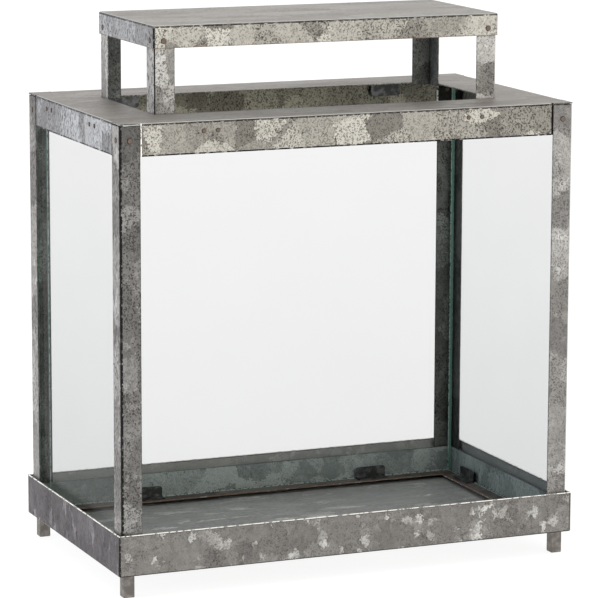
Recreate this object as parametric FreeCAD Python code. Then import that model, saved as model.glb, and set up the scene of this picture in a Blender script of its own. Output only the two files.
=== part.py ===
import FreeCAD, Part
import os

# Candle lantern: a glass house of folded sheet steel that stands in a shallow tray.
# Millimetres, +Z up, front of the lantern towards -Y.
# Origin: centre of the footprint, on the surface the four feet stand on.

Vector = FreeCAD.Vector

# ---- overall sizes ----
tray_width = 406.0          # outside, along X
tray_depth = 234.0          # outside, along Y
lantern_height = 456.5      # feet to handle top

# ---- stock ----
sheet = 1.0                 # galvanised sheet steel
bend_radius = 1.2           # outer radius of the upright folds and the pans' folds
small_bend = 0.8            # outer radius of the rails' folds
corner_radius = 0.5         # eased outer corner where two walls of a pan meet
angle_flange = 17.5         # both flanges of the angle the posts and legs are made of
glass_thickness = 2.5

# ---- tray and feet ----
foot_height = 19.0
foot_size = 9.5             # square bar
foot_inset = 5.5            # tray's outer face to the foot
foot_easing = 0.8           # rounded edges of the bar
tray_wall = 34.0            # underside of the tray to its rim
seam_gap = 0.35             # open corner seams of the folded pans

# ---- glass house ----
house_gap = 2.5             # tray wall to post, all round
rail_lift = 3.0             # bottom rails above the tray floor
rail_height = 22.3          # upright flange of a bottom rail
rail_flange = 16.5          # flange the glass stands on
band_drop = 26.5            # roof's top face to the lower edge of the turned-down bands
band_tight_gap = 0.3        # a band's end to the post that it was pushed up against
band_loose_gap = 1.8        # its other end, cut short, to the post there
post_head_gap = 0.8         # post's top to the underside of the roof
end_gap = 0.3               # clearance where two pieces butt inside a corner

# ---- glass and its clips ----
glass_play = 0.7            # behind each pane, so it drops in past the rivet tails
pane_end_gap = 9.0          # front and rear panes: end of the glass to the house's outer face
pane_head_gap = 1.0         # pane's top edge to the underside of the roof
rear_pane_shift = 5.0       # rear pane stands to the right of centre
clip_thickness = 0.8
clip_width = 28.0
clip_foot = 8.0
clip_gap = 0.1              # clip to glass
clip_corner = 2.5           # rounded free corners
clip_bend = 1.0             # outside radius of a clip's folds
bottom_clip_height = 10.0
top_clip_height = 15.4
bottom_clip_spacing = 214.0     # front and rear sides, centre to centre
bottom_side_clip_spacing = 134.0
bottom_clip_shift = 10.0        # the front and rear pairs sit right of centre
front_top_clip_spacing = 232.5
rear_top_clip_spacing = 245.5
side_top_clip_spacing = 108.0
top_clip_shift = -6.0           # each pair sits left of centre, seen from outside its own wall

# ---- handle ----
handle_width = 306.0
handle_depth = 131.0
handle_rise = 71.5          # roof's top face to the handle's top face
cover_height = 18.5         # folded cover, top face to lower edge
opening_gap = 0.2           # roof opening around the legs
leg_foot_length = 8.0       # feet bent outwards under the roof
leg_foot_width = 12.0

# ---- rivets ----
rivet_radius = 1.5
rivet_head_radius = 2.25
rivet_head_height = 0.5
rivet_crown = 0.4           # rounding of the head's rim
rivet_tail_radius = 2.0
rivet_hole_gap = 0.1        # hole radius over shank radius
clip_rivet_radius = 1.1
clip_rivet_head_radius = 1.8
clip_rivet_tail_radius = 1.5
clip_rivet_spacing = 12.2   # two to a top clip
clip_rivet_drop = 8.3       # below the roof's top face
post_rivet_drop = 13.5      # below the roof's top face
leg_rivet_drop = 12.5       # below the handle's top face

# ---- sizes that follow ----
tray_floor = foot_height + sheet
house_width = tray_width - 2 * (sheet + house_gap)
house_depth = tray_depth - 2 * (sheet + house_gap)
roof_height = lantern_height - handle_rise
roof_underside = roof_height - sheet
rail_bottom = tray_floor + rail_lift
glass_bottom = rail_bottom + sheet
band_bottom = roof_height - band_drop
pane_top = roof_underside - pane_head_gap
pane_face = 2 * sheet + glass_play + glass_thickness    # house's outer face to glass's inner face
long_pane_width = house_width - 2 * pane_end_gap
side_pane_width = house_depth - 2 * (pane_face + end_gap)
leg_width = handle_width - 2 * sheet
leg_depth = handle_depth - 2 * sheet
rivet_centre = angle_flange / 2                         # from the outer corner of the angle
fold_width = 3 * sheet                                  # strip of the roof that belongs to a band's fold

# The four upright corners, as the directions they lie in.
CORNERS = {
    "front_left": (-1, -1),
    "front_right": (1, -1),
    "rear_left": (-1, 1),
    "rear_right": (1, 1),
}


# ---- helpers ----
def box(x0, x1, y0, y1, z0, z1):
    return Part.makeBox(x1 - x0, y1 - y0, z1 - z0, Vector(x0, y0, z0))


def join(shapes):
    return shapes[0].fuse(shapes[1:]).removeSplitter()


def near(value, target):
    return abs(value - target) < 1e-6


def edges_where(shape, test):
    """Straight edges whose two ends both pass the test."""
    found = []
    for edge in shape.Edges:
        if all(test(vertex.Point) for vertex in edge.Vertexes):
            found.append(edge)
    return found


def mirrored(shape, x_side, y_side):
    """A front-left piece brought to the corner on the given sides."""
    if x_side > 0:
        shape = shape.mirror(Vector(0, 0, 0), Vector(1, 0, 0))
    if y_side > 0:
        shape = shape.mirror(Vector(0, 0, 0), Vector(0, 1, 0))
    return shape


def turned(shape, quarters):
    """A front piece brought round to the wall that many quarter turns on: right, rear, left."""
    piece = shape.copy()
    piece.rotate(Vector(0, 0, 0), Vector(0, 0, 1), 90 * quarters)
    return piece


def quarter_turn(shape):
    return turned(shape, 1)


def half_turn(shape):
    return turned(shape, 2)


def folded_pan(width, depth, height):
    """Open-topped pan folded from one blank. Each wall laps the next one's end, with an open seam."""
    x, y = width / 2, depth / 2
    block = box(-x, x, -y, y, 0, height)
    uprights = edges_where(block, lambda p: near(abs(p.x), x) and near(abs(p.y), y))
    uprights = [edge for edge in uprights if near(edge.Length, height)]
    block = block.makeFillet(corner_radius, uprights)
    bends = edges_where(block, lambda p: near(p.z, 0))
    block = block.makeFillet(bend_radius, bends)
    inside = box(-x + sheet, x - sheet, -y + sheet, y - sheet, sheet, height + sheet)
    pan = block.cut(inside)

    top = height + sheet
    side_seam = box(-x - sheet, -x + sheet, -y + sheet, -y + sheet + seam_gap, bend_radius, top)
    front_seam = box(x - sheet - seam_gap, x - sheet, -y - sheet, -y + sheet, bend_radius, top)
    seams = [side_seam, front_seam, half_turn(side_seam), half_turn(front_seam)]
    return pan.cut(seams)


def angle_bar(flange, length):
    """Upright angle with its outer corner on the Z axis and its flanges along +X and +Y."""
    bar = join([box(0, flange, 0, sheet, 0, length), box(0, sheet, 0, flange, 0, length)])
    fold = edges_where(bar, lambda p: near(p.x, 0) and near(p.y, 0))
    return bar.makeFillet(bend_radius, fold)


def rounded_fold(shape, y, z, radius):
    """Rounds the fold of an angle drawn along X, whose outer corner is at the given y and z."""
    fold = edges_where(shape, lambda p: near(p.y, y) and near(p.z, z))
    return shape.makeFillet(radius, fold)


def cylinder(radius, length, start, direction):
    return Part.makeCylinder(radius, length, start, direction)


def rivet(face_point, outward, radius, head_radius, tail_radius, stack):
    """Rivet through a stack of two sheets. face_point is on the outer sheet's outer face."""
    inward = outward * -1
    head = cylinder(head_radius, rivet_head_height, face_point, outward)
    top = face_point + outward * rivet_head_height
    crown = [edge for edge in head.Edges if near((edge.CenterOfMass - top).dot(outward), 0)]
    head = head.makeFillet(rivet_crown, crown)
    shank = cylinder(radius, stack, face_point, inward)
    tail = cylinder(tail_radius, rivet_head_height, face_point + inward * stack, inward)
    return join([head, shank, tail])


def corner_rivet(face_point, outward):
    """Rivet of a band or a cover to an angle."""
    return rivet(face_point, outward, rivet_radius, rivet_head_radius, rivet_tail_radius, 2 * sheet)


def clip_rivet(face_point, outward):
    """Smaller rivet of a top clip to a band."""
    return rivet(face_point, outward, clip_rivet_radius, clip_rivet_head_radius, clip_rivet_tail_radius,
                 sheet + clip_thickness)


def rivet_hole(face_point, outward, radius):
    start = face_point + outward * sheet
    return cylinder(radius + rivet_hole_gap, 4 * sheet, start, outward * -1)


def corner_rivet_seats(width, depth, z):
    """Face points and outward directions of the eight rivets round a box of the given size."""
    seats = []
    for x_side, y_side in CORNERS.values():
        x, y = x_side * width / 2, y_side * depth / 2
        seats.append((Vector(x - x_side * rivet_centre, y, z), Vector(0, y_side, 0)))
        seats.append((Vector(x, y - y_side * rivet_centre, z), Vector(x_side, 0, 0)))
    return seats


def drilled(shape, seats, radius=rivet_radius):
    return shape.cut([rivet_hole(point, outward, radius) for point, outward in seats])


def clip_places(walls):
    """Quarter turns, house's outer face and centre of both clips on each wall, drawn as front pieces."""
    places = []
    for quarters, (offset, spacing, shift) in enumerate(walls):
        places += [(quarters, offset, shift + side * spacing / 2) for side in (-1, 1)]
    return places


def clip_rivet_seats(places):
    """Face points and outward directions of the two rivets of each top clip."""
    seats = []
    for quarters, offset, centre in places:
        turn = FreeCAD.Rotation(Vector(0, 0, 1), 90 * quarters)
        for side in (-1, 1):
            x = centre + side * clip_rivet_spacing / 2
            point = Vector(x, -offset, roof_height - clip_rivet_drop)
            seats.append((turn.multVec(point), turn.multVec(Vector(0, -1, 0))))
    return seats


# ---- tray and feet ----
def make_tray():
    pan = folded_pan(tray_width, tray_depth, tray_wall)
    pan.translate(Vector(0, 0, foot_height))
    return pan


def make_foot():
    """Front-left foot."""
    x = -tray_width / 2 + foot_inset
    y = -tray_depth / 2 + foot_inset
    bar = box(x, x + foot_size, y, y + foot_size, 0, foot_height)
    eased = [edge for edge in bar.Edges if edge.BoundBox.ZMin < foot_height / 2]
    return bar.makeFillet(foot_easing, eased)


# ---- glass house ----
bottom_clip_places = clip_places([
    (house_depth / 2, bottom_clip_spacing, bottom_clip_shift),
    (house_width / 2, bottom_side_clip_spacing, 0),
    (house_depth / 2, bottom_clip_spacing, -bottom_clip_shift),
    (house_width / 2, bottom_side_clip_spacing, 0),
])
top_clip_places = clip_places([
    (house_depth / 2, front_top_clip_spacing, top_clip_shift),
    (house_width / 2, side_top_clip_spacing, top_clip_shift),
    (house_depth / 2, rear_top_clip_spacing, top_clip_shift),
    (house_width / 2, side_top_clip_spacing, top_clip_shift),
])
clip_seats = clip_rivet_seats(top_clip_places)
post_seats = corner_rivet_seats(house_width, house_depth, roof_height - post_rivet_drop)
leg_seats = corner_rivet_seats(handle_width, handle_depth, lantern_height - leg_rivet_drop)


def make_post(x_side, y_side):
    post = angle_bar(angle_flange, roof_underside - post_head_gap - tray_floor)
    post.translate(Vector(-house_width / 2, -house_depth / 2, tray_floor))
    return drilled(mirrored(post, x_side, y_side), post_seats)


def make_long_rail():
    """Front rail: upright flange behind the posts, glass flange inwards at its foot."""
    x = house_width / 2 - 2 * sheet - end_gap
    y = -house_depth / 2 + sheet
    upright = box(-x, x, y, y + sheet, rail_bottom, rail_bottom + rail_height)
    ledge = box(-x, x, y, y + rail_flange, rail_bottom, rail_bottom + sheet)
    return rounded_fold(join([upright, ledge]), y, rail_bottom, small_bend)


def make_side_rail():
    """The same, for the short side, drawn along X as a front piece. Its ledge butts the long rails'."""
    x = house_depth / 2 - sheet - end_gap
    ledge_x = house_depth / 2 - sheet - rail_flange - end_gap
    y = -house_width / 2 + sheet
    upright = box(-x, x, y, y + sheet, rail_bottom, rail_bottom + rail_height)
    ledge = box(-ledge_x, ledge_x, y, y + rail_flange, rail_bottom, rail_bottom + sheet)
    return rounded_fold(join([upright, ledge]), y, rail_bottom, small_bend)


def band_blank(side_length, side_offset, left_gap, right_gap):
    """Turned-down band drawn along X as a front piece: its fold, its face flush with the posts,
    and its two ends set back to lie behind them. The gaps are those between its face and the posts."""
    post_edge = side_length / 2 - angle_flange
    tab_x = side_length / 2 - 2 * sheet - end_gap
    tab_top = roof_underside - post_head_gap
    left_x, right_x = left_gap - post_edge, post_edge - right_gap
    y = -side_offset
    face = box(left_x, right_x, y, y + sheet, band_bottom, roof_height)
    fold = box(left_x, right_x, y, y + fold_width, roof_underside, roof_height)
    band = rounded_fold(join([face, fold]), y, roof_height, bend_radius)
    ends = []
    for side, face_x in ((-1, -left_x), (1, right_x)):
        step = sorted([side * (face_x - sheet), side * face_x])
        tab = sorted([side * (face_x - sheet), side * tab_x])
        ends.append(box(step[0], step[1], y, y + 2 * sheet, band_bottom, tab_top))
        ends.append(box(tab[0], tab[1], y + sheet, y + 2 * sheet, band_bottom, tab_top))
    return band.fuse(ends), fold


def make_roof():
    """One folded sheet: the flat top with the handle's opening, and a band turned down on each side."""
    x, y = house_width / 2, house_depth / 2
    open_x = leg_width / 2 + opening_gap
    open_y = leg_depth / 2 + opening_gap
    opening = box(-open_x, open_x, -open_y, open_y, roof_underside - sheet, roof_height + sheet)
    top = box(-x, x, -y, y, roof_underside, roof_height).cut(opening)

    front_band, front_fold = band_blank(house_width, y, band_tight_gap, band_loose_gap)
    side_band, side_fold = band_blank(house_depth, x, band_loose_gap, band_tight_gap)
    right_band, right_fold = quarter_turn(side_band), quarter_turn(side_fold)
    top = top.cut([front_fold, half_turn(front_fold), right_fold, half_turn(right_fold)])
    roof = join([top, front_band, half_turn(front_band), right_band, half_turn(right_band)])
    return drilled(drilled(roof, post_seats), clip_seats, clip_rivet_radius)


def make_pane(width, offset, shift=0.0):
    """Pane drawn along X as a front piece."""
    y = -offset + pane_face
    return box(shift - width / 2, shift + width / 2, y - glass_thickness, y, glass_bottom, pane_top)


def rounded_leg(x0, x1, y, z0, z1, free_end):
    """Upright leg of a clip, with the corners of its free end rounded."""
    leg = box(x0, x1, y, y + clip_thickness, z0, z1)
    corners = edges_where(leg, lambda p: near(p.z, free_end))
    corners = [edge for edge in corners if near(edge.Length, clip_thickness)]
    return leg.makeFillet(clip_corner, corners)


def make_bottom_clip(quarters, offset, centre):
    """Folded clip inside a pane: a foot soldered to the ledge, and a leg up the glass."""
    x0, x1 = centre - clip_width / 2, centre + clip_width / 2
    y = -offset + pane_face + clip_gap
    tip = glass_bottom + bottom_clip_height
    leg = rounded_leg(x0, x1, y, glass_bottom, tip, tip)
    foot = box(x0, x1, y, y + clip_foot, glass_bottom, glass_bottom + clip_thickness)
    return turned(join([leg, foot]), quarters)


def make_top_clip(quarters, offset, centre):
    """Hooked clip over a pane's head: one leg riveted inside the band, the other down inside the glass."""
    x0, x1 = centre - clip_width / 2, centre + clip_width / 2
    outer, inner = -offset + sheet, -offset + pane_face + clip_gap
    tip = roof_underside - top_clip_height
    legs = [rounded_leg(x0, x1, y, tip, roof_underside, tip) for y in (outer, inner)]
    head = box(x0, x1, outer, inner + clip_thickness, roof_underside - clip_thickness, roof_underside)
    clip = join([*legs, head])
    folds = edges_where(clip, lambda p: near(p.z, roof_underside))
    clip = clip.makeFillet(clip_bend, [edge for edge in folds if near(edge.Length, clip_width)])
    return drilled(turned(clip, quarters), clip_seats, clip_rivet_radius)


# ---- handle ----
def make_cover():
    pan = folded_pan(handle_width, handle_depth, cover_height)
    pan.rotate(Vector(0, 0, 0), Vector(1, 0, 0), 180)
    pan.translate(Vector(0, 0, lantern_height))
    return drilled(pan, leg_seats)


def make_leg(x_side, y_side):
    """Angle leg that passes through the roof opening, with a foot bent out from each flange."""
    x, y = -leg_width / 2, -leg_depth / 2
    bottom = roof_underside - sheet
    bar = angle_bar(angle_flange, lantern_height - sheet - bottom)
    bar.translate(Vector(x, y, bottom))
    start = angle_flange - leg_foot_width
    front_foot = box(x + start, x + angle_flange, y - leg_foot_length, y + sheet, bottom, roof_underside)
    side_foot = box(x - leg_foot_length, x + sheet, y + start, y + angle_flange, bottom, roof_underside)
    leg = join([bar, front_foot, side_foot])
    return drilled(mirrored(leg, x_side, y_side), leg_seats)


# ---- the pieces ----
nodes = {"tray": make_tray(), "roof": make_roof(), "handle_cover": make_cover()}

for corner, (x_side, y_side) in CORNERS.items():
    nodes["foot_" + corner] = mirrored(make_foot(), x_side, y_side)
    nodes["post_" + corner] = make_post(x_side, y_side)
    nodes["leg_" + corner] = make_leg(x_side, y_side)

front_rail = make_long_rail()
right_rail = quarter_turn(make_side_rail())
nodes["rail_front"] = front_rail
nodes["rail_rear"] = half_turn(front_rail)
nodes["rail_right"] = right_rail
nodes["rail_left"] = half_turn(right_rail)

right_pane = quarter_turn(make_pane(side_pane_width, house_width / 2))
nodes["glass_front"] = make_pane(long_pane_width, house_depth / 2)
nodes["glass_rear"] = half_turn(make_pane(long_pane_width, house_depth / 2, -rear_pane_shift))
nodes["glass_right"] = right_pane
nodes["glass_left"] = half_turn(right_pane)

nodes["clips_bottom"] = Part.makeCompound([make_bottom_clip(*place) for place in bottom_clip_places])
nodes["clips_top"] = Part.makeCompound([make_top_clip(*place) for place in top_clip_places])
nodes["clip_rivets"] = Part.makeCompound([clip_rivet(*seat) for seat in clip_seats])
nodes["post_rivets"] = Part.makeCompound([corner_rivet(*seat) for seat in post_seats])
nodes["handle_rivets"] = Part.makeCompound([corner_rivet(*seat) for seat in leg_seats])

os.makedirs("parts", exist_ok=True)
for name, shape in nodes.items():
    shape.exportStep("parts/" + name + ".step")
    print(name, len(shape.Solids), "solid(s)", "valid" if shape.isValid() else "NOT VALID")
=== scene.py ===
import math

import bpy
from bpy.props import FloatProperty, FloatVectorProperty, PointerProperty
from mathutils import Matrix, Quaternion, Vector


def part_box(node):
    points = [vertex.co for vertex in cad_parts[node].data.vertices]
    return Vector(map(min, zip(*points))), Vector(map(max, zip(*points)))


bl_info = {
    "name": "Candle Lantern",
    "version": (1, 0, 0),
    "blender": (4, 5, 0),
    "location": "View3D > Sidebar > Lantern",
    "description": "Finishes for a sheet-metal candle lantern with a lift-off glass house, and its studio",
    "category": "Object",
}

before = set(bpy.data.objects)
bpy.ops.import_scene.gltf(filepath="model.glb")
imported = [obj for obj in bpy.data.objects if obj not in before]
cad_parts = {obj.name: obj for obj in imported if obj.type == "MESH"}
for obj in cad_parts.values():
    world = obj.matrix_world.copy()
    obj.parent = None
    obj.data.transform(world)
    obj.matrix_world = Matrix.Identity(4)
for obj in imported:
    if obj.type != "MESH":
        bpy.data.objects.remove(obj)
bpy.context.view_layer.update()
MM = 0.001
CORNERS = [f"{end}_{side}" for end in ("front", "rear") for side in ("left", "right")]
WALLS = ("front", "rear", "left", "right")
AXES = {"x": 0, "y": 1, "z": 2}
MIDDLE = (0.5, 0.5, 0.5)          # middle of a random colour
SENSOR_WIDTH = 36                 # of the camera, in millimetres

# Edges and bends, as shares of a normal or of the cosine between two normals.
FLAT, ROUNDED = 0.995, 0.95       # longest part of the normal on a flat face, and on a bend
EDGE_FAINT, EDGE_FULL = 0.98, 0.8  # how far a softened edge leans away from its true face
FACING = 0.7                      # part of the normal from which a face counts as looking along an axis
BREAK_LENGTH = 3.0 * MM           # from one gap in a worn line to the next

# The zinc follows the way the sheet was rolled, along X in the tops and upright in the end faces.
TOP_PULL, END_PULL = (0.35, 1.0, 1.0), (1.0, 1.0, 0.5)
ROLLING_LINE = 0.8 * MM           # rolling lines are finer than this and would not show, so they are coarser
PIT_SPACING = 1.4                 # between pits, in crystals
EDGE_LINE = 1.5 * MM              # grimy line along a sheet's edge
CREVICE_DEPTH = 1.6 * MM          # painted shade and dirt reach this far out of a lap
PITTING = 0.12 * MM               # depth of the zinc's relief
GLOSS_SPREAD = 0.12               # dark zinc is this much rougher than the mean, and bright zinc smoother
FACET_TILT = (0.12, 0.12, 0.12)   # how far a crystal leans, as a share of its normal


def linear(code):
    """The linear colour, with full alpha, of an sRGB hex value."""
    shares = [int(code[i:i + 2], 16) / 255 for i in (1, 3, 5)]
    return tuple(s / 12.92 if s <= 0.04045 else ((s + 0.055) / 1.055) ** 2.4 for s in shares) + (1.0,)


def colour(name, description, code):
    """A colour property whose default is an sRGB hex value."""
    return FloatVectorProperty(name=name, description=description, default=linear(code),
                               size=4, min=0, max=1, subtype="COLOR")


def length(name, description, millimetres):
    """A length property whose default is in millimetres."""
    return FloatProperty(name=name, description=description, default=millimetres * MM,
                         min=0, unit="LENGTH", precision=5)


def share(name, description, value):
    """A property from 0 to 1."""
    return FloatProperty(name=name, description=description, default=value, min=0, max=1, subtype="FACTOR")


class LanternSteelSettings(bpy.types.PropertyGroup):
    zinc_dark: colour("Dark zinc", "Crystals that turn their facets away", "#4e4b48")
    zinc_mid: colour("Zinc", "The coating between the bright and the dark crystals", "#8d8a86")
    zinc_light: colour("Bright zinc", "Crystals that face the light", "#dddcd8")
    # Also painted shade: this near-black is laid in the bends, laps, slits and folds that turn from the light,
    # as well as on dirty edges.
    grime_and_shade: colour("Grime", "Dirt and bare steel along bends and cut edges", "#0b0908")
    # Painted highlight: the near-white line where a cut edge catches the light.
    cut_edge: colour("Cut edge", "Clean metal on a sheared or worn edge", "#fffdf5")
    rust: colour("Rust", "Rust at laps and cut edges", "#7d6655")
    inner_tint: colour("Inner patina", "Blue-green cast of the zinc inside the lantern", "#e2f0ee")
    crystal: length("Crystal size", "Mean width of a large zinc crystal", 7.0)
    grain: length("Grain size", "Mean width of a small zinc crystal", 2.6)
    speckle: length("Speckle size", "Grain of the zinc's matt skin, drawn coarse enough to show", 1.0)
    patch: length("Patch size", "Width of the patches where the zinc took unevenly", 24.0)
    roughness: share("Roughness", "Mean roughness of weathered zinc", 0.5)
    # Painted light: a warm cast on the front faces and a cool cast on the left faces, as the lamps colour them.
    warm_lit_face: colour("Front cast", "Slightly olive cast of the front bands", "#f8f6ef")
    cool_lit_face: colour("Left cast", "Slightly blue cast of the left bands", "#f4f8ff")


class LanternGlassSettings(bpy.types.PropertyGroup):
    clear: colour("Glass", "What one face of a long pane lets through at its head", "#fafafa")
    film: colour("Dusty glass", "What it lets through at its foot, where dust settles", "#f6f6f6")
    side_clear: colour("Side glass", "What one face of a side pane lets through at its head", "#f7f7f7")
    side_film: colour("Dusty side glass", "What it lets through at its foot", "#eeefef")
    cut_edge: colour("Cut edge", "Deep green of the pane's cut edge", "#3f7a66")
    cut_edge_light: colour("Light in the cut edge", "Where light runs along the pane to its edge", "#9fd0bd")
    arris: colour("Arris", "Ground corner of the cut edge, which catches the light", "#e4efec")


class LanternTrimSettings(bpy.types.PropertyGroup):
    clip: colour("Clip", "Dull tinned steel of the glass clips", "#464746")
    clip_worn: colour("Worn clip", "Brighter tin left on the clips", "#727473")
    bar: colour("Foot", "Square bar of the feet", "#6f6a66")
    bar_worn: colour("Worn foot", "Rubbed patches of the feet", "#8b8680")
    rivet: colour("Rivet", "Rusty crown of a rivet", "#5e5048")
    rivet_worn: colour("Worn rivet", "Rubbed part of the crown", "#857568")
    rivet_rim: colour("Rivet rim", "Dark rim of a rivet", "#1b1816")


class LanternStageSettings(bpy.types.PropertyGroup):
    azimuth: FloatProperty(name="Azimuth", description="Camera's turn round the lantern from the front",
                           default=math.radians(-22.74), subtype="ANGLE", unit="ROTATION")
    elevation: FloatProperty(name="Elevation", description="Camera's height above the horizon",
                             default=math.radians(10.36), subtype="ANGLE", unit="ROTATION")
    roll: FloatProperty(name="Roll", description="Camera's turn about its own line of sight",
                        default=math.radians(0.19), subtype="ANGLE", unit="ROTATION")
    distance: length("Distance", "From the lens to the point that the camera looks at", 2826.7)
    lens: FloatProperty(name="Lens", description="Focal length on a 36 mm wide sensor",
                        default=200.8, min=10, subtype="DISTANCE_CAMERA")
    aim_side: FloatProperty(name="Aim to the side",
                            description="How far right of the middle the camera looks",
                            default=1.5 * MM, unit="LENGTH", precision=5)
    aim_height: length("Aim height", "Height of the point that the camera looks at", 213.1)
    sweep: colour("Floor", "White acrylic under the lantern, lit from below", "#707070")
    sweep_clean: colour("Clean floor", "Cleaner parts of the acrylic", "#747474")
    glow: share("Floor glow", "How brightly the acrylic is lit from below", 0.88)
    sky: colour("Surround", "White walls of the studio", "#ffffff")
    fill: FloatProperty(name="Fill", description="Brightness of the studio's walls on the lantern",
                        default=0.9, min=0)
    floor_radius: length("Floor radius", "Radius of the round floor", 14000.0)


def add(tree, kind, inputs=None, stops=None, **settings):
    """Adds a node with its settings. A socket among the inputs is linked, and any other value is set."""
    node = tree.nodes.new(kind)
    for key, value in settings.items():
        setattr(node, key, value)
    for key, value in (inputs or {}).items():
        if isinstance(value, bpy.types.NodeSocket):
            tree.links.new(value, node.inputs[key])
        else:
            node.inputs[key].default_value = value
    if stops:
        elements = node.color_ramp.elements
        while len(elements) < len(stops):
            elements.new(0.5)
        for element, (position, value) in zip(elements, stops):
            element.position, element.color = position, value
    return node


def new_material(name):
    """An empty material with its output node."""
    material = bpy.data.materials.new(name)
    material.use_nodes = True
    material.node_tree.nodes.clear()
    return material, material.node_tree, add(material.node_tree, "ShaderNodeOutputMaterial")


def within(tree, place, low, high):
    """1 where place lies between two corners of a box, and 0 elsewhere."""
    away = add(tree, "ShaderNodeVectorMath", {0: place, 1: (low + high) / 2}, operation="SUBTRACT")
    size = add(tree, "ShaderNodeVectorMath", {0: away.outputs[0]}, operation="ABSOLUTE")
    past = add(tree, "ShaderNodeVectorMath", {0: size.outputs[0], 1: (high - low) / 2}, operation="SUBTRACT")
    parts = add(tree, "ShaderNodeSeparateXYZ", {0: past.outputs[0]}).outputs
    most = add(tree, "ShaderNodeMath", {0: parts[0], 1: parts[1]}, operation="MAXIMUM").outputs[0]
    most = add(tree, "ShaderNodeMath", {0: most, 1: parts[2]}, operation="MAXIMUM").outputs[0]
    return add(tree, "ShaderNodeMath", {0: most, 1: 0.0}, operation="LESS_THAN").outputs[0]


def faces_along(tree, normal, axis, sign):
    """1 on faces that look along an axis, fading to 0 as they turn away."""
    part = add(tree, "ShaderNodeSeparateXYZ", {0: normal}).outputs[AXES[axis]]
    return add(tree, "ShaderNodeMapRange", {0: part, 1: 0.6 * sign, 2: 0.95 * sign}).outputs[0]


def bends(tree, normal):
    """1 on rounded bends, whose normals lie between the three axes, and 0 on flat faces."""
    parts = add(tree, "ShaderNodeSeparateXYZ",
                {0: add(tree, "ShaderNodeVectorMath", {0: normal}, operation="ABSOLUTE").outputs[0]}).outputs
    most = add(tree, "ShaderNodeMath", {0: parts[0], 1: parts[1]}, operation="MAXIMUM").outputs[0]
    most = add(tree, "ShaderNodeMath", {0: most, 1: parts[2]}, operation="MAXIMUM").outputs[0]
    return add(tree, "ShaderNodeMapRange", {0: most, 1: FLAT, 2: ROUNDED}).outputs[0]


def broken(tree, place, gap, full):
    """Breaks up a line as wear does: 0 in its gaps and 1 where it is whole."""
    wear = add(tree, "ShaderNodeTexNoise",
               {"Vector": place, "Scale": 1 / BREAK_LENGTH, "Detail": 2.0}).outputs[0]
    return add(tree, "ShaderNodeMapRange", {0: wear, 1: gap, 2: full}).outputs[0]


def edges(tree, place, reach, gaps):
    """1 within reach of a sharp edge, broken up by gaps as wear is."""
    rounded = add(tree, "ShaderNodeBevel", {"Radius": reach}, samples=6).outputs[0]
    true = add(tree, "ShaderNodeNewGeometry").outputs["True Normal"]
    match = add(tree, "ShaderNodeVectorMath", {0: rounded, 1: true}, operation="DOT_PRODUCT").outputs["Value"]
    line = add(tree, "ShaderNodeMapRange", {0: match, 1: EDGE_FAINT, 2: EDGE_FULL}).outputs[0]
    return add(tree, "ShaderNodeMath", {0: line, 1: broken(tree, place, gaps, gaps + 0.15)},
               operation="MULTIPLY").outputs[0]


# How strong each pattern of the zinc is on each sheet. level is the mean tone, size scales the
# crystals, cover is the share of them that shows, and calm is how much the flat top hides them.
# metal is how much of the skin is bare metal and not matt oxide, and the key after it is the painted shade,
# with the dirt, that ambient occlusion lays in laps.
SPANGLE = {
    "tray": dict(level=0.35, size=1.1, cover=0.48, calm=0.0, metal=0.6, shade_and_dirt_in_laps=0.9,
                 patches=0.16, crystals=0.75, facets=0.14, grain=0.06, speckle=0.40, rolling=0.12, pits=0.10),
    "roof": dict(level=0.53, size=1.0, cover=0.30, calm=0.75, metal=0.6, shade_and_dirt_in_laps=0.9,
                 patches=0.42, crystals=0.08, facets=0.06, grain=0.04, speckle=0.95, rolling=0.20, pits=0.60),
    "post": dict(level=0.37, size=0.9, cover=0.45, calm=0.0, metal=0.6, shade_and_dirt_in_laps=0.5,
                 patches=0.42, crystals=0.25, facets=0.12, grain=0.05, speckle=0.85, rolling=0.15, pits=0.60),
    "rail": dict(level=0.64, size=1.0, cover=0.40, calm=0.3, metal=0.3, shade_and_dirt_in_laps=0.0,
                 patches=0.60, crystals=0.25, facets=0.15, grain=0.15, speckle=0.50, rolling=0.15, pits=0.80),
}


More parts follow.
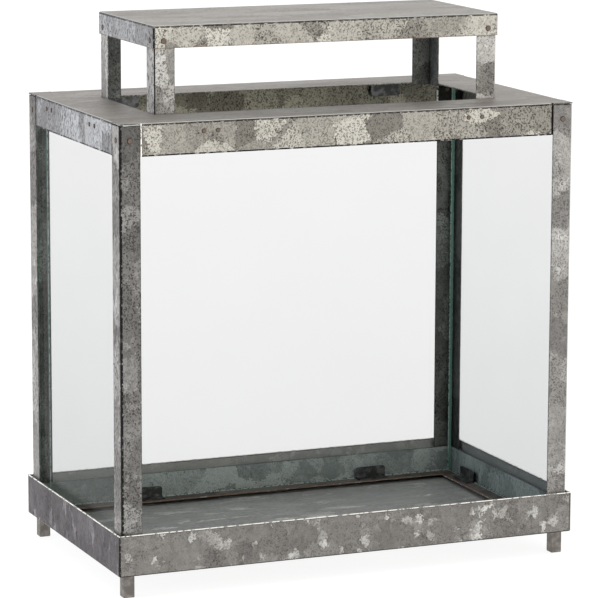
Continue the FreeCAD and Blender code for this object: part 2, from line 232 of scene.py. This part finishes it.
def zinc_tone(tree, place, normal, steel, look):
    """The tone of the zinc from 0, dark, to 1, bright, and a random colour for each crystal.
    The crystals are jagged cells, brighter in clusters, on a fine matt grain with dark pits."""
    turned = add(tree, "ShaderNodeSeparateXYZ", {
        0: add(tree, "ShaderNodeVectorMath", {0: normal}, operation="ABSOLUTE").outputs[0]}).outputs
    drawn = (1.0, 1.0, 1.0)
    for axis, pull in (("z", TOP_PULL), ("x", END_PULL)):
        facing = add(tree, "ShaderNodeMath", {0: turned[AXES[axis]], 1: FACING},
                     operation="GREATER_THAN").outputs[0]
        drawn = add(tree, "ShaderNodeMix", {0: facing, 4: drawn, 5: pull}, data_type="VECTOR").outputs[1]
    place = add(tree, "ShaderNodeVectorMath", {0: place, 1: drawn}, operation="MULTIPLY").outputs[0]
    ragged = place
    for kind, size, reach in (("ShaderNodeTexNoise", steel.crystal, steel.crystal / 2),
                              ("ShaderNodeTexVoronoi", steel.crystal / 4, steel.crystal / 3)):
        swirl = add(tree, kind, {"Vector": place, "Scale": 1 / size}).outputs["Color"]
        push = add(tree, "ShaderNodeVectorMath", {0: swirl, 1: MIDDLE}, operation="SUBTRACT").outputs[0]
        ragged = add(tree, "ShaderNodeVectorMath", {0: push, 1: (reach,) * 3, 2: ragged},
                     operation="MULTIPLY_ADD").outputs[0]

    cells, dice = {}, {}
    for name, size, vector in (("patch", steel.patch, ragged),
                               ("crystal", look["size"] * steel.crystal, ragged),
                               ("grain", steel.grain, ragged), ("speckle", steel.speckle, place)):
        cells[name] = add(tree, "ShaderNodeTexVoronoi", {"Vector": vector, "Scale": 1 / size}).outputs
        dice[name] = add(tree, "ShaderNodeSeparateColor", {0: cells[name]["Color"]}).outputs

    lit = add(tree, "ShaderNodeMapRange",
              {0: dice["crystal"][0], 1: 1 - look["cover"], 2: 1.0, 3: 0.35, 4: 1.0})
    cluster = add(tree, "ShaderNodeTexNoise", {"Vector": ragged, "Scale": 1 / steel.patch}).outputs[0]
    took = add(tree, "ShaderNodeMapRange", {0: cluster, 1: 0.50, 2: 0.53}).outputs[0]
    shown = add(tree, "ShaderNodeMapRange", {0: took, 3: 0.4, 4: lit.outputs[0]}).outputs[0]
    from_seed = add(tree, "ShaderNodeVectorMath", {0: ragged, 1: cells["crystal"]["Position"]},
                    operation="SUBTRACT")
    lean = add(tree, "ShaderNodeVectorMath", {0: cells["crystal"]["Color"], 1: MIDDLE}, operation="SUBTRACT")
    slope = add(tree, "ShaderNodeVectorMath", {0: from_seed.outputs[0], 1: lean.outputs[0]},
                operation="DOT_PRODUCT").outputs["Value"]
    facet = add(tree, "ShaderNodeMath", {0: slope, 1: 1.5 / steel.crystal, 2: 0.5},
                operation="MULTIPLY_ADD").outputs[0]
    matt = add(tree, "ShaderNodeMapRange", {0: dice["patch"][1], 1: 0.2, 2: 0.5, 3: 0.4, 4: 1.0}).outputs[0]
    dark = add(tree, "ShaderNodeMapRange", {0: dice["speckle"][2], 2: 0.45, 4: 0.65}).outputs[0]
    sparks = add(tree, "ShaderNodeMapRange", {0: matt, 3: 0.5, 4: dark}).outputs[0]
    hole = add(tree, "ShaderNodeTexVoronoi",
               {"Vector": ragged, "Scale": 1 / (PIT_SPACING * steel.crystal)}).outputs["Distance"]
    pit = add(tree, "ShaderNodeMapRange", {0: hole, 1: 0.06, 2: 0.13}).outputs[0]
    for _ in range(2):
        place = add(tree, "ShaderNodeVectorMath", {0: place, 1: drawn}, operation="MULTIPLY").outputs[0]
    streak = add(tree, "ShaderNodeTexNoise",
                 {"Vector": place, "Scale": 1 / ROLLING_LINE, "Detail": 1.0}).outputs[0]

    tone = look["level"]
    for pattern, strength, middle in (
            (dice["patch"][0], "patches", 0.5), (shown, "crystals", 0.42), (facet, "facets", 0.5),
            (dice["grain"][1], "grain", 0.5), (sparks, "speckle", 0.5), (streak, "rolling", 0.5),
            (pit, "pits", 1.0)):
        centred = add(tree, "ShaderNodeMath", {0: pattern, 1: middle}, operation="SUBTRACT").outputs[0]
        tone = add(tree, "ShaderNodeMath", {0: centred, 1: look[strength], 2: tone},
                   operation="MULTIPLY_ADD").outputs[0]
    return tone, cells["crystal"]["Color"]


def galvanised_sheet(name, steel, look, faces=(), painted=()):
    """Hot-dip galvanised sheet steel, weathered. Its zinc froze in leaf-like crystals, so it is grey
    mottled with brighter facets and matt. Its bends take a painted highlight and painted shade by the
    way they face, its laps and corners painted shade with their dirt, and its sharp edges a broken dark line.
    faces are (axis, sign, cast): the faces that look along an axis take a cast, painted light and shade on that
    side.
    painted are (mode, colour, low corner, high corner) of boxes whose inside takes a colour, for rust, dirt,
    painted highlights and painted shade: a MIX is broken up, as wear and rust are, and the other modes are
    whole."""
    material, tree, output = new_material(name)
    coordinates = add(tree, "ShaderNodeTexCoord").outputs
    place, normal = coordinates["Object"], coordinates["Normal"]
    parts = add(tree, "ShaderNodeSeparateXYZ", {0: normal}).outputs
    tone, facets = zinc_tone(tree, place, normal, steel, look)
    flat = add(tree, "ShaderNodeMapRange", {0: parts[2], 1: 0.9, 2: 0.99, 4: look["calm"]}).outputs[0]
    tone = add(tree, "ShaderNodeMix", {0: flat, 2: tone, 3: look["level"]}, data_type="FLOAT").outputs[0]
    paint = add(tree, "ShaderNodeValToRGB", {0: tone}, stops=[
        (0.0, steel.zinc_dark), (0.5, steel.zinc_mid), (1.0, steel.zinc_light)]).outputs[0]
    # Painted shade in laps, around heads and in corners, darker where ambient occlusion finds sheet close by,
    # with the dirt that gathers there.
    crevice = add(tree, "ShaderNodeAmbientOcclusion", {"Distance": CREVICE_DEPTH}, samples=4).outputs["AO"]
    lap_shade_and_dirt = add(tree, "ShaderNodeMapRange", {0: crevice, 1: 0.9, 2: 0.5, 4: look["shade_and_dirt_in_laps"]}).outputs[0]
    # Painted highlight and painted shade on the bends, by the way each faces: light where a fold turns up or
    # towards the front right, black where it turns down, to the left or round to the right.
    above = add(tree, "ShaderNodeValToRGB", {0: parts[2]}, stops=[
        (0.60, steel.grime_and_shade), (0.70, steel.zinc_light), (1.0, steel.zinc_mid)]).outputs[0]
    beside = add(tree, "ShaderNodeValToRGB", {0: parts[0]}, stops=[
        (0.02, steel.grime_and_shade), (0.08, steel.zinc_light),
        (0.5, steel.zinc_light), (0.6, steel.grime_and_shade)]).outputs[0]
    wear_and_bend_shading = add(tree, "ShaderNodeMix", {0: 1.0, 6: above, 7: beside},
               data_type="RGBA", blend_type="LIGHTEN").outputs[2]
    layers = [("MULTIPLY", cast, faces_along(tree, normal, axis, sign)) for axis, sign, cast in faces]
    layers += [("MIX", steel.grime_and_shade, edges(tree, place, EDGE_LINE, 0.35)), ("MIX", steel.grime_and_shade, lap_shade_and_dirt),
               ("MIX", wear_and_bend_shading, bends(tree, normal))]
    whole = broken(tree, place, 0.38, 0.48)
    for mode, cast, low, high in painted:
        amount = within(tree, place, low, high)
        if mode == "MIX":
            amount = add(tree, "ShaderNodeMath", {0: amount, 1: whole}, operation="MULTIPLY").outputs[0]
        layers.append((mode, cast, amount))
    for mode, cast, amount in layers:
        paint = add(tree, "ShaderNodeMix", {0: amount, 6: paint, 7: cast},
                    data_type="RGBA", blend_type=mode).outputs[2]
    rough = add(tree, "ShaderNodeMapRange",
                {0: tone, 3: steel.roughness + GLOSS_SPREAD, 4: steel.roughness - GLOSS_SPREAD})
    tilt = add(tree, "ShaderNodeVectorMath", {0: facets, 1: MIDDLE}, operation="SUBTRACT").outputs[0]
    pitted = add(tree, "ShaderNodeBump", {"Height": tone, "Strength": 0.3, "Distance": PITTING}).outputs[0]
    leaning = add(tree, "ShaderNodeVectorMath", {0: tilt, 1: FACET_TILT, 2: pitted},
                  operation="MULTIPLY_ADD").outputs[0]
    shader = add(tree, "ShaderNodeBsdfPrincipled", {
        "Base Color": paint, "Metallic": look["metal"], "Roughness": rough.outputs[0],
        "Normal": add(tree, "ShaderNodeVectorMath", {0: leaning}, operation="NORMALIZE").outputs[0]})
    tree.links.new(shader.outputs[0], output.inputs[0])
    return material


def float_glass(name, axis, clear, film, glass, low, high):
    """Clear float glass, cut and ground along its edges. It is clear and faintly grey face on, duller
    towards its foot where dust settles, and deep green at its cut edges, where the light runs along
    the pane, with a bright arris."""
    material, tree, output = new_material(name)
    coordinates = add(tree, "ShaderNodeTexCoord").outputs
    place = coordinates["Object"]
    height = add(tree, "ShaderNodeSeparateXYZ", {0: place}).outputs[2]
    cloud = add(tree, "ShaderNodeTexNoise", {"Vector": place, "Scale": 1 / (70 * MM), "Detail": 3.0})
    uneven = add(tree, "ShaderNodeMath", {0: cloud.outputs[0], 1: 0.1, 2: height},
                 operation="MULTIPLY_ADD").outputs[0]
    fall = add(tree, "ShaderNodeMapRange", {0: uneven, 1: high.z + 0.05, 2: low.z + 0.05}).outputs[0]
    tint = add(tree, "ShaderNodeMix", {0: fall, 6: clear, 7: film}, data_type="RGBA").outputs[2]
    through = add(tree, "ShaderNodeBsdfTransparent", {0: tint})
    gloss = add(tree, "ShaderNodeBsdfGlossy", {"Roughness": 0.0})
    grazing = add(tree, "ShaderNodeMath", {0: add(tree, "ShaderNodeLayerWeight").outputs["Facing"], 1: 5.0},
                  operation="POWER").outputs[0]
    mirror = add(tree, "ShaderNodeMapRange", {0: grazing, 1: 0.1, 4: 0.6}).outputs[0]
    pane = add(tree, "ShaderNodeMixShader", {0: mirror, 1: through.outputs[0], 2: gloss.outputs[0]})
    chipped = add(tree, "ShaderNodeTexNoise", {"Vector": place, "Scale": 1 / (2 * MM)}).outputs[0]
    chip = add(tree, "ShaderNodeMapRange", {0: chipped, 1: 0.48, 2: 0.56}).outputs[0]
    green = add(tree, "ShaderNodeMix", {0: chipped, 6: glass.cut_edge, 7: glass.cut_edge_light},
                data_type="RGBA")
    sheared = add(tree, "ShaderNodeBsdfPrincipled", {
        "Base Color": green.outputs[2], "Roughness": 0.3, "IOR": 1.5, "Transmission Weight": 0.3})
    nicked = add(tree, "ShaderNodeMix", {0: chip, 6: glass.arris, 7: glass.cut_edge}, data_type="RGBA")
    ground = add(tree, "ShaderNodeBsdfPrincipled", {
        "Base Color": nicked.outputs[2], "Roughness": 0.4, "IOR": 1.5})
    face_on = add(tree, "ShaderNodeMath", {
        0: add(tree, "ShaderNodeSeparateXYZ", {0: coordinates["Normal"]}).outputs[AXES[axis]]},
        operation="ABSOLUTE").outputs[0]
    at_edge = add(tree, "ShaderNodeMapRange", {0: face_on, 1: 0.9, 2: 0.5}).outputs[0]
    arris_width = Vector((1, 1, 1)) * 0.5 * MM
    arris_width[AXES[axis]] = -1
    middle = within(tree, place, low + arris_width, high - arris_width)
    lip = add(tree, "ShaderNodeMath", {0: 0.9, 1: middle}, operation="SUBTRACT", use_clamp=True).outputs[0]
    shader = add(tree, "ShaderNodeMixShader", {0: lip, 1: pane.outputs[0], 2: ground.outputs[0]})
    shader = add(tree, "ShaderNodeMixShader", {0: at_edge, 1: shader.outputs[0], 2: sheared.outputs[0]})
    tree.links.new(shader.outputs[0], output.inputs[0])
    return material


def cut_steel(name, face, wear_and_bend_shading, roughness, grime_and_shade):
    """Small steel parts, rolled and cut, which makes them dull, mottled a little where the surface
    has rubbed, and black along their edges."""
    material, tree, output = new_material(name)
    place = add(tree, "ShaderNodeTexCoord").outputs["Object"]
    cloud = add(tree, "ShaderNodeTexNoise",
                {"Vector": place, "Scale": 1 / (5 * MM), "Detail": 5.0}).outputs[0]
    patchy = add(tree, "ShaderNodeMapRange", {0: cloud, 1: 0.45, 2: 0.65}).outputs[0]
    paint = add(tree, "ShaderNodeMix", {0: patchy, 6: face, 7: wear_and_bend_shading}, data_type="RGBA").outputs[2]
    paint = add(tree, "ShaderNodeMix", {0: edges(tree, place, 0.6 * MM, 0.3), 6: paint, 7: grime_and_shade},
                data_type="RGBA").outputs[2]
    pitted = add(tree, "ShaderNodeBump", {"Height": cloud, "Strength": 0.3, "Distance": 0.1 * MM}).outputs[0]
    shader = add(tree, "ShaderNodeBsdfPrincipled", {
        "Base Color": paint, "Metallic": 0.9, "Roughness": roughness, "Normal": pitted})
    tree.links.new(shader.outputs[0], output.inputs[0])
    return material


def rusty_rivet(name, trim):
    """Soft steel rivets, headed cold and left bare: a rust-brown crown inside a dark rim."""
    material, tree, output = new_material(name)
    coordinates = add(tree, "ShaderNodeTexCoord").outputs
    cloud = add(tree, "ShaderNodeTexNoise",
                {"Vector": coordinates["Object"], "Scale": 1 / (1.5 * MM), "Detail": 3.0}).outputs[0]
    rust = add(tree, "ShaderNodeMix", {0: cloud, 6: trim.rivet, 7: trim.rivet_worn},
               data_type="RGBA").outputs[2]
    # The dark rim is painted shade and dirt on the crown's sloping edge.
    paint = add(tree, "ShaderNodeMix", {0: bends(tree, coordinates["Normal"]), 6: rust, 7: trim.rivet_rim},
                data_type="RGBA").outputs[2]
    pitted = add(tree, "ShaderNodeBump", {"Height": cloud, "Strength": 0.3, "Distance": 0.1 * MM})
    shader = add(tree, "ShaderNodeBsdfPrincipled", {
        "Base Color": paint, "Metallic": 0.7, "Roughness": 0.55, "Normal": pitted.outputs[0]})
    tree.links.new(shader.outputs[0], output.inputs[0])
    return material


def dress(names, material):
    """Gives CAD nodes a material."""
    for name in names:
        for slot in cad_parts[name].material_slots:
            slot.material = material


def hollow(low, high, wall):
    """The box inside a sheet's outer faces, open below."""
    return low + Vector((wall, wall, -1)), high - Vector((wall, wall, wall))


def strip(low, high, **limits):
    """The box of a piece, a millimetre larger all round, with some of its limits changed:
    x0, x1, y0, y1, z0 or z1."""
    corners = [low - Vector((1, 1, 1)) * MM, high + Vector((1, 1, 1)) * MM]
    for limit, value in limits.items():
        corners[int(limit[1])][AXES[limit[0]]] = value
    return corners


def shaded_inner_angles(low, high, cast):
    """Painted shade on the faces of the corner angles that look into the frame."""
    half, ends = 0.5 * MM, 1
    return ("MULTIPLY", linear(cast), low + Vector((half, half, -ends)), high - Vector((half, half, -ends)))


def fold_shade_lines(low, high, reach, steel):
    """Black lines down the front left and the rear right folds: painted shade on the rounded folds, with the
    dirt along them.
    """
    return [("MIX", steel.grime_and_shade, *strip(low, high, x1=low.x + reach, y1=low.y + reach)),
            ("MIX", steel.grime_and_shade, *strip(low, high, x0=high.x - reach, y0=high.y - reach))]


class LANTERN_OT_stage(bpy.types.Operator):
    """Makes the camera, the floor, the studio's walls and the lights"""
    bl_idname = "lantern.stage"
    bl_label = "Stage"

    def execute(self, context):
        stage = context.scene.lantern_stage
        scene = context.scene
        a, e = stage.azimuth, stage.elevation
        back = Vector((math.sin(a) * math.cos(e), -math.cos(a) * math.cos(e), math.sin(e)))
        camera = bpy.data.objects.new("camera", bpy.data.cameras.new("camera"))
        camera.data.lens, camera.data.sensor_width = stage.lens, SENSOR_WIDTH
        camera.data.clip_start, camera.data.clip_end = 0.1, 100
        camera.location = Vector((stage.aim_side, 0, stage.aim_height)) + back * stage.distance
        camera.rotation_mode = "QUATERNION"
        camera.rotation_quaternion = (-back).to_track_quat("-Z", "Y") @ Quaternion((0, 0, 1), stage.roll)
        scene.collection.objects.link(camera)
        scene.camera = camera
        scene.view_settings.view_transform = "Standard"
        scene.cycles.transparent_max_bounces = 24  # light crosses two panes going in and two going out
        bpy.ops.mesh.primitive_circle_add(vertices=96, radius=stage.floor_radius, fill_type="NGON")
        floor = context.object
        floor.name = "floor"
        material, tree, output = new_material("white_lit_acrylic")
        place = add(tree, "ShaderNodeTexCoord").outputs["Object"]
        cloud = add(tree, "ShaderNodeTexNoise",
                    {"Vector": place, "Scale": 1 / (400 * MM), "Detail": 2.0}).outputs[0]
        sweep = add(tree, "ShaderNodeMix", {0: cloud, 6: stage.sweep, 7: stage.sweep_clean}, data_type="RGBA")
        acrylic = add(tree, "ShaderNodeBsdfPrincipled", {
            "Base Color": sweep.outputs[2], "Roughness": 0.9,
            "Emission Color": linear("#ffffff"), "Emission Strength": stage.glow})
        tree.links.new(acrylic.outputs[0], output.inputs[0])
        floor.data.materials.append(material)
        world = bpy.data.worlds.new("white_studio")
        scene.world = world
        world.use_nodes = True
        world.node_tree.nodes.clear()
        tree = world.node_tree
        path = add(tree, "ShaderNodeLightPath").outputs
        seen = add(tree, "ShaderNodeMath", {0: path["Is Camera Ray"], 1: path["Is Transmission Ray"]},
                   operation="MAXIMUM").outputs[0]
        strength = add(tree, "ShaderNodeMapRange", {0: seen, 3: stage.fill, 4: 1.0}).outputs[0]
        walls = add(tree, "ShaderNodeBackground", {0: stage.sky, 1: strength})
        tree.links.new(walls.outputs[0], add(tree, "ShaderNodeOutputWorld").inputs[0])
        for name, place, size, power, code in (
                ("left_softbox", (-2.4, 0.6, 1.1), 1.6, 24, "#e6edff"),
                ("front_softbox", (1.6, -2.6, 1.3), 1.8, 13, "#fff6e6"),
                ("top_softbox", (0.1, -0.2, 2.8), 2.2, 20, "#ffffff")):
            light = bpy.data.lights.new(name, "AREA")
            light.shape, light.size, light.energy, light.color = "SQUARE", size, power, linear(code)[:3]
            lamp = bpy.data.objects.new(name, light)
            lamp.location = place
            lamp.rotation_euler = (Vector(place) - Vector((0, 0, 0.2))).to_track_quat("Z", "Y").to_euler()
            scene.collection.objects.link(lamp)
        return {"FINISHED"}


class LANTERN_OT_tray(bpy.types.Operator):
    """Galvanises the tray with large spangles, with painted light inside, painted shade on its side walls and
    two folds, and painted highlights on its rim and the foot of its left wall
    """
    bl_idname = "lantern.tray"
    bl_label = "Tray"

    def execute(self, context):
        steel = context.scene.lantern_steel
        low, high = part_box("tray")
        half, line = 0.5 * MM, 0.6 * MM
        walls = dict(x0=low.x + half, x1=high.x - half, y0=low.y + half, y1=high.y - half)
        inside = strip(low, high, **walls, z0=low.z + half)
        wall = strip(low, high, **walls, z0=low.z + 3 * MM)
        # Painted light over the tray's inner faces, brighter on its inner walls; painted shade down two folds;
        # a painted highlight along the rim over a dark line; and a painted highlight along the foot of the left
        # wall.
        painted = [("SCREEN", linear("#646c6b"), *inside), ("SCREEN", linear("#8b8f8b"), *wall),
                   *fold_shade_lines(low, high, 1.3 * MM, steel),
                   ("MIX", steel.zinc_dark, *strip(low, high, z0=high.z - 2 * line)),
                   ("MIX", steel.cut_edge, *strip(low, high, z0=high.z - line)),
                   ("MIX", steel.zinc_light, *strip(low, high, x1=low.x + half, z1=low.z + line))]
        # Painted shade on the left and right walls.
        shaded_side_walls = linear("#b0abb4")
        material = galvanised_sheet("galvanised_steel_large_spangle", steel, SPANGLE["tray"],
                                    faces=[("x", -1, shaded_side_walls), ("x", 1, shaded_side_walls)], painted=painted)
        dress(["tray"], material)
        return {"FINISHED"}


class LANTERN_OT_roof(bpy.types.Operator):
    """Galvanises the roof and its four bands with soft mottling, painted light and shade by facing, painted
    shade inside, under the top fold and in the slits at the bands' ends, and painted highlights on two band
    ends
    """
    bl_idname = "lantern.roof"
    bl_label = "Roof"

    def execute(self, context):
        steel = context.scene.lantern_steel
        low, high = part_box("roof")
        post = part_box("post_front_right")[0]
        line, slit, deep = 0.8 * MM, 1.8 * MM, 3 * MM
        x, y = post.x, -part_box("post_front_left")[1].y
        # Painted shade on the roof's inner faces and in a line under the top fold, and a dark line along the
        # bands' lower edges.
        painted = [("MULTIPLY", linear("#d3d3c6"), *hollow(low, high, line / 2)),
                   ("MIX", steel.grime_and_shade, *strip(low, high, z0=high.z - 1.9 * MM, z1=high.z - 1.1 * MM)),
                   ("MIX", steel.grime_and_shade, *strip(low, high, z1=low.z + 1.2 * MM))]
        # Painted shade in the slits at the bands' ends, and a painted highlight on the front band's left end
        # and the rear band's right end, where the cut ends catch the light.
        for side in (-1, 1):
            front = dict(y1=low.y + deep) if side < 0 else dict(y0=high.y - deep)
            right = dict(x1=low.x + deep) if side < 0 else dict(x0=high.x - deep)
            ends = sorted([-side * (x - slit), -side * x])
            painted.append(("DARKEN", steel.grime_and_shade, *strip(low, high, x0=ends[0], x1=ends[1], **front)))
            ends = sorted([-side * (y - slit), -side * y])
            painted.append(("DARKEN", steel.grime_and_shade, *strip(low, high, y0=ends[0], y1=ends[1], **right)))
            lit_band_ends = sorted([side * x, side * (x - 1.3 * MM)])
            painted.append(("MIX", steel.cut_edge, *strip(low, high, x0=lit_band_ends[0], x1=lit_band_ends[1], **front)))
        # Painted light and shade by facing: the tops a little darker, the front faces a warm cast and the left
        # faces a cool cast, as the lamps light them.
        faces = [("z", 1, linear("#f6f2ef")), ("y", -1, steel.warm_lit_face), ("x", -1, steel.cool_lit_face)]
        material = galvanised_sheet("galvanised_steel_mottled_roof", steel, SPANGLE["roof"], faces, painted)
        dress(["roof"], material)
        return {"FINISHED"}


class LANTERN_OT_handle(bpy.types.Operator):
    """Galvanises the handle's cover, rusty where it laps the legs, with painted light and shade by facing and
    painted shade under its top fold and down two folds, and its four legs, with painted shade inside and down
    two folds
    """
    bl_idname = "lantern.handle"
    bl_label = "Handle"

    def execute(self, context):
        steel = context.scene.lantern_steel
        low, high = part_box("handle_cover")
        line = 0.8 * MM
        painted = [("MULTIPLY", steel.inner_tint, *hollow(low, high, line / 2)),
                   # painted shade down the front left and rear right folds, and in a line under the top fold
                   *fold_shade_lines(low, high, 1.3 * MM, steel),
                   ("MIX", steel.grime_and_shade, *strip(low, high, z0=high.z - 1.9 * MM, z1=high.z - 1.1 * MM)),
                   ("MIX", steel.rust, *strip(low, high, z1=low.z + line / 2))]
        # Painted light and shade by facing: the top a little darker, the front faces a warm cast and the left
        # faces a cool cast, as the lamps light them.
        faces = [("z", 1, linear("#ece9e6")), ("y", -1, steel.warm_lit_face), ("x", -1, steel.cool_lit_face)]
        cover = galvanised_sheet("galvanised_steel_mottled_cover", steel, SPANGLE["roof"] | dict(level=0.58),
                                 faces, painted)
        dress(["handle_cover"], cover)
        sheet = Vector((1, 1, 1)) * MM
        low, high = low + sheet, high - sheet
        # Painted shade on the legs' faces that look inward, under the cover, and down two folds.
        painted = [shaded_inner_angles(low, high, "#8d9190"), *fold_shade_lines(low, high, 1.7 * MM, steel)]
        legs = galvanised_sheet("galvanised_steel_fine_spangle_legs", steel,
                                SPANGLE["post"] | dict(level=0.55), painted=painted)
        dress([f"leg_{corner}" for corner in CORNERS], legs)
        return {"FINISHED"}


class LANTERN_OT_posts(bpy.types.Operator):
    """Galvanises the four corner posts with fine spangles, with painted shade on their inner faces and down two
    folds
    """
    bl_idname = "lantern.posts"
    bl_label = "Posts"

    def execute(self, context):
        steel = context.scene.lantern_steel
        low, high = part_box("post_front_left")[0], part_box("post_rear_right")[1]
        face = low.y + 0.5 * MM
        # Painted shade on the faces that look into the frame and down two folds. The front left post's front is
        # darker and the front right post's lighter, each piece in its own tone.
        painted = [shaded_inner_angles(low, high, "#bcc5c3"),
                   ("MULTIPLY", linear("#dfe0e1"), *strip(low, high, x1=0.0, y1=face)),
                   ("SCREEN", linear("#414141"), *strip(low, high, x0=0.0, y1=face)),
                   *fold_shade_lines(low, high, 1.9 * MM, steel)]
        material = galvanised_sheet("galvanised_steel_fine_spangle_posts", steel, SPANGLE["post"],
                                    painted=painted)
        dress([f"post_{corner}" for corner in CORNERS], material)
        return {"FINISHED"}


class LANTERN_OT_rails(bpy.types.Operator):
    """Galvanises the four ledge rails, blue-green and pitted inside, with painted light on their inner faces,
    painted shade on the ledge tops, and rusty ledge edges
    """
    bl_idname = "lantern.rails"
    bl_label = "Rails"

    def execute(self, context):
        steel = context.scene.lantern_steel
        low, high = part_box("rail_left")[0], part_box("rail_right")[1]
        ledge_x, ledge_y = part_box("rail_right")[0].x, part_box("rail_rear")[0].y
        line = 0.8 * MM
        inner = low + Vector((0.5, 0.5, 1.5)) * MM, high + Vector((-0.5, -0.5, 1)) * MM
        # Painted light over the rails' inner faces, on top of their blue-green patina.
        painted = [("MULTIPLY", steel.inner_tint, *inner), ("SCREEN", linear("#6b7978"), *inner)]
        for axis, ledge in (("x", ledge_x), ("y", ledge_y)):
            for edge in (ledge, -ledge):
                limits = {axis + "0": edge - line, axis + "1": edge + line}
                painted.append(("MIX", steel.rust, *strip(low, high, **limits, z1=low.z + 1.1 * MM)))
        # Painted shade on the ledge tops.
        material = galvanised_sheet("galvanised_steel_dull_rails", steel, SPANGLE["rail"],
                                    faces=[("z", 1, linear("#77706a"))], painted=painted)
        dress([f"rail_{wall}" for wall in WALLS], material)
        return {"FINISHED"}


class LANTERN_OT_glass(bpy.types.Operator):
    """Makes the four panes clear float glass with green cut edges"""
    bl_idname = "lantern.glass"
    bl_label = "Glass"

    def execute(self, context):
        glass = context.scene.lantern_glass
        for wall in WALLS:
            axis = "y" if wall in ("front", "rear") else "x"
            tints = (glass.clear, glass.film) if axis == "y" else (glass.side_clear, glass.side_film)
            material = float_glass(f"clear_float_glass_{wall}", axis, *tints, glass, *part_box(f"glass_{wall}"))
            dress([f"glass_{wall}"], material)
        return {"FINISHED"}


class LANTERN_OT_trim(bpy.types.Operator):
    """Finishes the clips, the feet and the rivets"""
    bl_idname = "lantern.trim"
    bl_label = "Clips, feet and rivets"

    def execute(self, context):
        trim, grime_and_shade = context.scene.lantern_trim, context.scene.lantern_steel.grime_and_shade
        dress(["clips_bottom", "clips_top"],
              cut_steel("tinned_spring_steel", trim.clip, trim.clip_worn, 0.45, grime_and_shade))
        dress([f"foot_{corner}" for corner in CORNERS],
              cut_steel("hot_rolled_square_bar", trim.bar, trim.bar_worn, 0.5, grime_and_shade))
        dress(["clip_rivets", "post_rivets", "handle_rivets"], rusty_rivet("rusted_soft_steel_rivet", trim))
        return {"FINISHED"}


class LANTERN_PT_sidebar(bpy.types.Panel):
    """Lists the lantern's pieces and their settings"""
    bl_idname = "LANTERN_PT_sidebar"
    bl_label = "Lantern"
    bl_space_type = "VIEW_3D"
    bl_region_type = "UI"
    bl_category = "Lantern"

    def draw(self, context):
        for operator in OPERATORS:
            self.layout.operator(operator.bl_idname)
        for name, group in SETTINGS.items():
            box = self.layout.box()
            for key in group.__annotations__:
                box.prop(getattr(context.scene, name), key)


OPERATORS = (LANTERN_OT_stage, LANTERN_OT_tray, LANTERN_OT_roof, LANTERN_OT_handle, LANTERN_OT_posts,
             LANTERN_OT_rails, LANTERN_OT_glass, LANTERN_OT_trim)
SETTINGS = {"lantern_steel": LanternSteelSettings, "lantern_glass": LanternGlassSettings,
            "lantern_trim": LanternTrimSettings, "lantern_stage": LanternStageSettings}


def register():
    for group in (*SETTINGS.values(), *OPERATORS, LANTERN_PT_sidebar):
        bpy.utils.register_class(group)
    for name, group in SETTINGS.items():
        setattr(bpy.types.Scene, name, PointerProperty(type=group))


def unregister():
    for name in SETTINGS:
        delattr(bpy.types.Scene, name)
    for group in reversed((*SETTINGS.values(), *OPERATORS, LANTERN_PT_sidebar)):
        bpy.utils.unregister_class(group)


def main():
    register()
    for operator in OPERATORS:
        module, name = operator.bl_idname.split(".")
        getattr(getattr(bpy.ops, module), name)()


if __name__ == "__main__":
    main()
